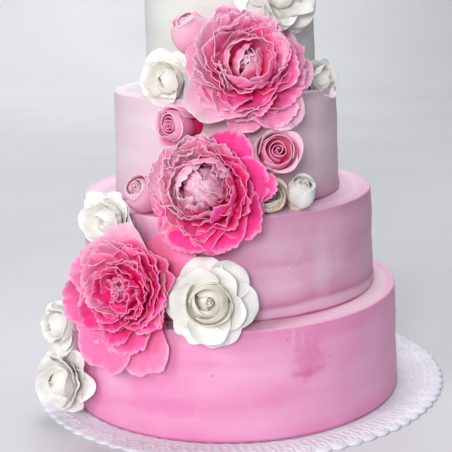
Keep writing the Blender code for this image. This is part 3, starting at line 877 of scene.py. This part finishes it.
def wound_heart(draw, radius, size, height, turns, tone, fall=0.3):
    """A strip wound up tight, as a rose's heart is; size and height are shares of the flower's radius."""
    shares = {"inner": 0.03, "outer": size, "low": 0.1, "high": height, "fall": fall * size}
    lengths = {key: share * radius for key, share in {**shares, "lean": 0.12, "lip": 0.02}.items()}
    turn, seed = draw.uniform(0, 360), draw.randrange(1, SEEDS)
    return [Scroll(turns=turns, turn=turn, tone=tone, seed=seed, **lengths)]


def rose_open(draw, radius):
    """A rose blown open: a wound heart, a cup round it, and petals spread flat to blunt, turned tips."""
    petals = wound_heart(draw, radius, 0.10, 0.84, 1.6, 0.6)
    petals += whorl(
        draw, radius, 3, 40, 0.12, 0.20, 0.86, 72, -66, 0.66, 0.40, wild=0.5,
        tone=0.5, ruffle=0.02, spiral=0.04, drop=0.16, wrap=1.0,
    )
    petals += whorl(
        draw, radius, 3, 90, 0.14, 0.16, 0.92, 76, -50, 0.80, 0.50, wild=0.6,
        tone=0.55, ruffle=0.03, spiral=0.05, drop=0.16, wrap=1.0,
    )
    petals += whorl(
        draw, radius, 4, 15, 0.14, 0.10, 0.96, 80, -26, 0.64, 0.56, wild=0.7,
        tone=0.45, ruffle=0.04, spiral=0.05, drop=0.16, roll=40, roll_from=0.86, wrap=0.6,
    )
    petals += whorl(
        draw, radius, 5, 50, 0.14, 0.10, 0.98, 72, 36, 0.56, 0.66, wild=0.7,
        tone=0.05, roll=44, roll_from=0.66, ruffle=0.04, corner=2.4,
    )
    shapes = (
        (105, 1.06, 68, 92, 0.58, 0.0),
        (48, 1.08, 68, 96, 0.56, 0.0),
        (355, 1.10, 68, 94, 0.58, 0.0),
        (290, 1.04, 68, 96, 0.58, 0.0),
        (232, 1.02, 68, 92, 0.56, 0.0),
        (172, 1.06, 68, 88, 0.58, 0.0),
    )
    petals += spread_petals(
        draw, radius, shapes, 0.14, 0.04, 1.1, ruffle=0.07, drop=0.30, corner=2.2, roll=34, roll_from=0.72
    )
    return petals, (0.34, 1.50, -0.03)


def rose_small(draw, radius):
    """A small white rose: a wound heart in a cup, and petals that roll away from it."""
    petals = wound_heart(draw, radius, 0.12, 1.06, 1.6, 0.4)
    petals += whorl(
        draw, radius, 3, 40, 0.12, 0.16, 1.12, 68, -70, 0.74, 0.48, wild=0.6,
        tone=0.3, ruffle=0.03, spiral=0.06, drop=0.16, crinkle=0.01, wrap=1.0,
    )
    petals += whorl(
        draw, radius, 4, 70, 0.14, 0.14, 1.12, 72, -6, 0.66, 0.60, wild=1.0,
        tone=0.15, roll=64, roll_from=0.72, ruffle=0.06, crinkle=0.02, corner=2.2,
    )
    petals += whorl(
        draw, radius, 5, 25, 0.14, 0.10, 1.10, 72, 36, 0.62, 0.80, wild=1.2,
        roll=50, roll_from=0.7, ruffle=0.07, crinkle=0.02, corner=2.0,
    )
    petals += whorl(
        draw, radius, 6, 0, 0.14, 0.04, 1.04, 72, 84, 0.60, 0.95, wild=0.9,
        roll=24, ruffle=0.09, crinkle=0.02, corner=2.0,
    )
    return petals, (0.36, 1.50, 0.12)


def rose_half(draw, radius):
    """A rose half open: its petals stand away from the heart."""
    petals = wound_heart(draw, radius, 0.18, 1.25, 1.8, 0.3)
    petals += whorl(
        draw, radius, 3, 40, 0.14, 0.12, 1.34, 64, -62, 0.80, 0.54, wild=0.6,
        tone=0.3, ruffle=0.03, spiral=0.06, drop=0.16, crinkle=0.01, wrap=1.0,
    )
    petals += whorl(
        draw, radius, 4, 0, 0.14, 0.08, 1.30, 70, -14, 0.66, 0.66, wild=1.0,
        ruffle=0.06, tone=0.1, roll=60, roll_from=0.74, crinkle=0.02, corner=2.0,
    )
    petals += whorl(
        draw, radius, 6, 30, 0.14, 0.04, 1.26, 76, 24, 0.64, 0.80, wild=1.2,
        ruffle=0.08, roll=56, roll_from=0.7, crinkle=0.02, corner=1.9,
    )
    return petals, (0.42, 1.70, 0.20)


def rosebud(draw, radius):
    """A closed bud: a strip wound up tight, and petals wrapped over it, their lips turned a little out."""
    petals = wound_heart(draw, radius, 0.36, 1.84, 2.8, 0.3, fall=0.15)
    petals += whorl(
        draw, radius, 3, 20, 0.22, 0.06, 2.12, 62, -50, 1.30, 0.80, wild=0.3,
        ruffle=0.02, drop=0.12, spiral=0.07, tone=0.2, wrap=1.0, **WRAPPED_GRID,
    )
    petals += whorl(
        draw, radius, 3, 70, 0.22, 0.00, 2.16, 66, -44, 1.20, 0.84, wild=0.3,
        ruffle=0.03, drop=0.16, roll=66, roll_from=0.86, spiral=0.09, tone=0.1, wrap=1.0, **WRAPPED_GRID,
    )
    return petals, (0.56, 2.00, 0.15)


def rosebud_open(draw, radius):
    """A bud that has begun to open: its spiral shows, and the outer petals roll back from it."""
    petals = wound_heart(draw, radius, 0.50, 1.70, 2.7, 0.1, fall=0.25)
    petals += whorl(
        draw, radius, 3, 10, 0.20, 0.04, 1.98, 66, -38, 1.00, 0.68, wild=0.6,
        ruffle=0.05, drop=0.14, roll=40, roll_from=0.88, spiral=0.16, tone=0.6, wrap=1.0, **WRAPPED_GRID,
    )
    petals += whorl(
        draw, radius, 4, 60, 0.22, 0.00, 2.00, 70, -22, 1.10, 0.90, wild=0.7,
        ruffle=0.05, drop=0.16, roll=84, roll_from=0.78, spiral=0.09, tone=0.85, wrap=0.9, **WRAPPED_GRID,
    )
    return petals, (0.60, 1.60, -0.05)


@dataclass
class Flower:
    """A flower's form, the radius it is made to, the tier, bearing and height of its seat, how far the seat
    stands off the tier, the bearing and elevation that it faces, its turn and its paste."""

    make: object
    radius: float
    tier: int
    bearing: float
    height: float
    stand_off: float
    faces: float
    raised: float
    turn: float
    paste: str


FLOWERS = {
    "bud_top": Flower(rosebud, 17.0, 4, -16.5, 0.3120, 9, -54, 59, 0, "sugar_dusty_pink"),
    "bud_spiral": Flower(rosebud_open, 14.5, 3, -16.0, 0.2555, 5, -44, 8, 20, "sugar_mid_pink"),
    "bud_right": Flower(rosebud_open, 15.5, 3, 21.5, 0.2260, 5, 8, 26, 40, "sugar_mid_pink"),
    "bud_blush": Flower(rosebud_open, 12.0, 3, 19.5, 0.1905, 7, -8, 30, 10, "sugar_white"),
    "bud_white": Flower(rosebud, 13.5, 3, 31.0, 0.1875, 11, 22, 55, 0, "sugar_white"),
    "bud_left": Flower(rosebud, 16.0, 3, -34.5, 0.1905, 9, -36, 38, 0, "sugar_dusty_pink"),
    "rose_front": Flower(rose_open, 31.5, 2, -6.0, 0.1200, 15, -3, 16, 0, "sugar_white"),
    "rose_top": Flower(rose_small, 30.0, 4, 27.0, 0.3550, 5, 22, 6, 0, "sugar_white"),
    "rose_shoulder": Flower(rose_small, 25.0, 4, -35.5, 0.2875, 5, -26, 4, 0, "sugar_white"),
    "rose_rim": Flower(rose_small, 23.5, 2, -42.0, 0.1780, 4, -32, 12, 30, "sugar_white"),
    "rose_ledge": Flower(rose_half, 21.0, 1, -62.0, 0.0835, 7, -42, 10, 0, "sugar_white"),
    "rose_low": Flower(rose_small, 26.0, 1, -60.5, 0.0350, 9, -42, 4, 50, "sugar_white"),
    "peony_middle": Flower(peony_closed, 39.0, 3, -8.5, 0.2045, 10, -6, 14, 0, "sugar_hot_pink"),
    "peony_lower": Flower(peony_full, 40.0, 2, -33.0, 0.1240, 5, -22, 12, 0, "sugar_hot_pink"),
    "peony_upper": Flower(peony_open, 39.5, 4, 7.5, 0.2940, 7, 6, 22, 0, "sugar_mid_pink"),
    "rose_behind": Flower(rose_half, 18.0, 4, 62.0, 0.2810, 2, 50, 6, 20, "sugar_white"),
}


def flower_frame(flower):
    """Z runs along the flower's axis, Y upwards, and X to the right of someone who looks at its face."""
    low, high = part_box(f"tier_{flower.tier}")
    centre = (low + high) / 2
    reach = (high.x - low.x) / 2 - TIER_FLARE + flower.stand_off * MM
    bearing = math.radians(flower.bearing)
    outward = Vector((math.sin(bearing), -math.cos(bearing), 0.0))
    seat = Vector((centre.x, centre.y, flower.height)) + reach * outward
    faces, raised = math.radians(flower.faces), math.radians(flower.raised)
    ahead = Vector((math.sin(faces), -math.cos(faces), 0.0))
    axis = ahead * math.cos(raised) + Vector((0, 0, math.sin(raised)))
    right = Vector((math.cos(faces), math.sin(faces), 0.0))
    stance = Matrix((right, axis.cross(right), axis)).transposed().to_4x4()
    return Matrix.Translation(seat) @ stance @ Matrix.Rotation(math.radians(flower.turn), 4, "Z")


def placed(points, stance):
    """Points of a flower's own frame, in millimetres, as points of the cake, in metres."""
    turn = np.array(stance.to_3x3())
    return points * MM @ turn.T + np.array(stance.translation)


def tree_of(points, faces):
    return BVHTree.FromPolygons([Vector(p) for p in points], [list(map(int, face)) for face in faces])


def giving_way(petal, stance, obstacles):
    """The petal, raised or shortened until it is clear of the flowers beside it, or None if it can't be."""
    if isinstance(petal, Scroll):
        return petal
    for raised, share in GIVING_WAY:
        bent = replace(petal, foot=petal.foot - raised, lip=petal.lip - raised, length=petal.length * share)
        points, faces, *_ = petal_shell(replace(bent, columns=8, rows=6, frill=0.0, notch=0.0))
        tree = tree_of(placed(points, stance), faces)
        if not any(tree.overlap(obstacle) for obstacle in obstacles):
            return bent
    return None


def sugar_flower(name, material, obstacles):
    """All of a flower's petals and its heart in one mesh; gives its piece and its faces' tree."""
    flower = FLOWERS[name]
    stance = flower_frame(flower)
    petals, heart = flower.make(random.Random(name), flower.radius)
    points, faces = heart_shell(*(share * flower.radius for share in heart))
    parts = [(points, np.zeros(len(points)), np.full(len(points), 0.1), np.zeros((len(points), 3)))]
    all_faces = [list(face) for face in faces]
    filled = len(points)
    for fitted in filter(None, (giving_way(petal, stance, obstacles) for petal in petals)):
        points, faces, rim, tone, grain = petal_shell(fitted)
        parts.append((points, rim, tone, grain))
        all_faces += (faces + filled).tolist()
        filled += len(points)
    corners = placed(np.concatenate([part[0] for part in parts]), stance)
    mesh = new_mesh(name, corners.tolist(), all_faces)
    mesh.set_sharp_from_angle(angle=math.radians(70))
    for index, label, kind, key in ATTRIBUTES:
        values = np.concatenate([part[index] for part in parts]).astype(np.float32)
        mesh.attributes.new(label, kind, "POINT").data.foreach_set(key, values.ravel())
    dressed(f"{name}_petals", mesh, material, name)
    return tree_of(corners, all_faces)


def arrange_flowers():
    """Flowers in the order in which they hold their ground; later ones give way to earlier ones."""
    pastes = {
        "sugar_hot_pink": sugar_paste(
            "sugar_paste_hot_pink",
            ("#FF0A72", "#FF248E", "#FF52A8", "#FD9ECC"),
            ("#FF6CA8", "#FFA9CE", "#FBC4DC", "#F8D2E4"),
        ),
        "sugar_mid_pink": sugar_paste(
            "sugar_paste_mid_pink",
            ("#FF1478", "#FF3E9A", "#FF7CBC", "#FCB6DA"),
            ("#FF66A6", "#FFA2CA", "#FAC6DE", "#F5D5E3"),
        ),
        "sugar_dusty_pink": sugar_paste(
            "sugar_paste_dusty_pink",
            ("#F06FA6", "#F4A2C4", "#F6BBD3", "#F8D0E0"),
            ("#F088B4", "#F6B6D0", "#F8CCDE", "#FADAE6"),
        ),
        "sugar_white": sugar_paste(
            "sugar_paste_white",
            ("#F3ECDD", "#F6F4EF", "#F8F7F6", "#F9F9F9"),
            ("#EFE4CA", "#F6F1E6", "#F7F2E6", "#E4D2AC"),
        ),
    }
    trees = {}
    for name, flower in FLOWERS.items():
        _, heart = flower.make(random.Random(name), flower.radius)
        points, faces = heart_shell(*(share * flower.radius for share in heart))
        trees[name] = tree_of(placed(points, flower_frame(flower)), faces)
    for name, flower in FLOWERS.items():
        others = [tree for other, tree in trees.items() if other != name]
        trees[name] = sugar_flower(name, pastes[flower.paste], others)


def ice_tiers():
    icings = (
        (
            "icing_pink", "#EC88BC", "#F3A2CE", "#F6B4DA", ("#FAC0DE", "#FDDDEC"),
            ((0.0, "#E570AC", 0.5), (0.05, "#F3A2CE", 0.0), (0.9, "#F3A2CE", 0.0), (1.0, "#EE8CC0", 0.4)),
            (
                (57, 68, 19, 19, 0, "#E05A98", 0.50), (53, 57, 12, 4, 4, "#DE4F88", 0.5),
                (62, 60, 16, 3, 0, "#E870A8", 0.4), (44, 88, 1.4, 10, 2, "#FAC8E2", 0.45),
                (52, 87, 1.0, 7, -4, "#FAC8E2", 0.35), (-46, 22, 14, 0.9, -6, "#FAC4E0", 0.3),
                (-37, 28, 0.9, 7, 12, "#FAC4E0", 0.2), (-22, 61, 0.9, 0.9, 0, "#B04878", 0.8),
                (39, 87, 0.8, 0.8, 0, "#B04878", 0.7), (75, 67, 0.9, 0.7, 0, "#B04878", 0.7),
                # Painted shadows: under the lower peony's hanging petals, and along the top of the side under
                # the front rose
                (-75, 52, 26, 30, 0, "#EA7DB8", 0.35), (10, 94, 40, 4, 0, "#E97AB2", 0.4),
            ),
        ),
        (
            "icing_mauve", "#DA92BA", "#E5AACB", "#F0C4DC", ("#F2BCDA", "#F8D8E8"),
            (
                (0.0, "#D9709F", 0.8), (0.02, "#F6CFE4", 0.7), (0.09, "#F6CFE4", 0.7),
                (0.13, "#CE7BA8", 0.75), (0.21, "#E0A0C4", 0.35), (0.32, "#E9B7D2", 0.0),
            ),
            (
                (43, 141, 0.5, 7, 28, "#F9DCEA", 0.8), (49, 146, 0.5, 8, 32, "#F9DCEA", 0.8),
                (46, 137, 4, 0.5, 0, "#F9DCEA", 0.7), (71, 136, 10, 34, 0, "#F6DAE8", 0.35),
                # Painted shadows under the middle peony
                (30, 144, 36, 4, 2, "#D08FB4", 0.45), (-10, 146, 30, 14, 0, "#DC96BC", 0.35),
            ),
        ),
        (
            "icing_blush", "#E3C4D4", "#EBD2DF", "#F0DDE7", ("#EEDCE6", "#F4E8EE"),
            ((0.0, "#D9A6C0", 0.7), (0.12, "#E0B6CC", 0.5), (0.4, "#EBD2DF", 0.0)),
            # A painted shadow under the upper peony, and a pale streak
            ((30, 268, 40, 16, 0, "#DFA9C4", 0.5), (70, 236, 3, 30, 0, "#F4E4EC", 0.4)),
        ),
        (
            "icing_white", "#DEDEDA", "#E3E3E0", "#E8E8E5", ("#E6E6E3", "#EEEEEC"),
            ((0.0, "#E4D6DA", 0.4), (0.3, "#E3E3E0", 0.0)),
            (),
        ),
    )
    for number, (slot, *finish, marks) in enumerate(icings, 1):
        icing = buttercream(slot.replace("icing", "buttercream"), *finish, f"tier_{number}", marks)
        iced_tier(number, icing)


def main():
    place_camera()
    light_studio()
    lay_floor()
    ice_tiers()
    scalloped_card(coated_card())
    arrange_flowers()


main()
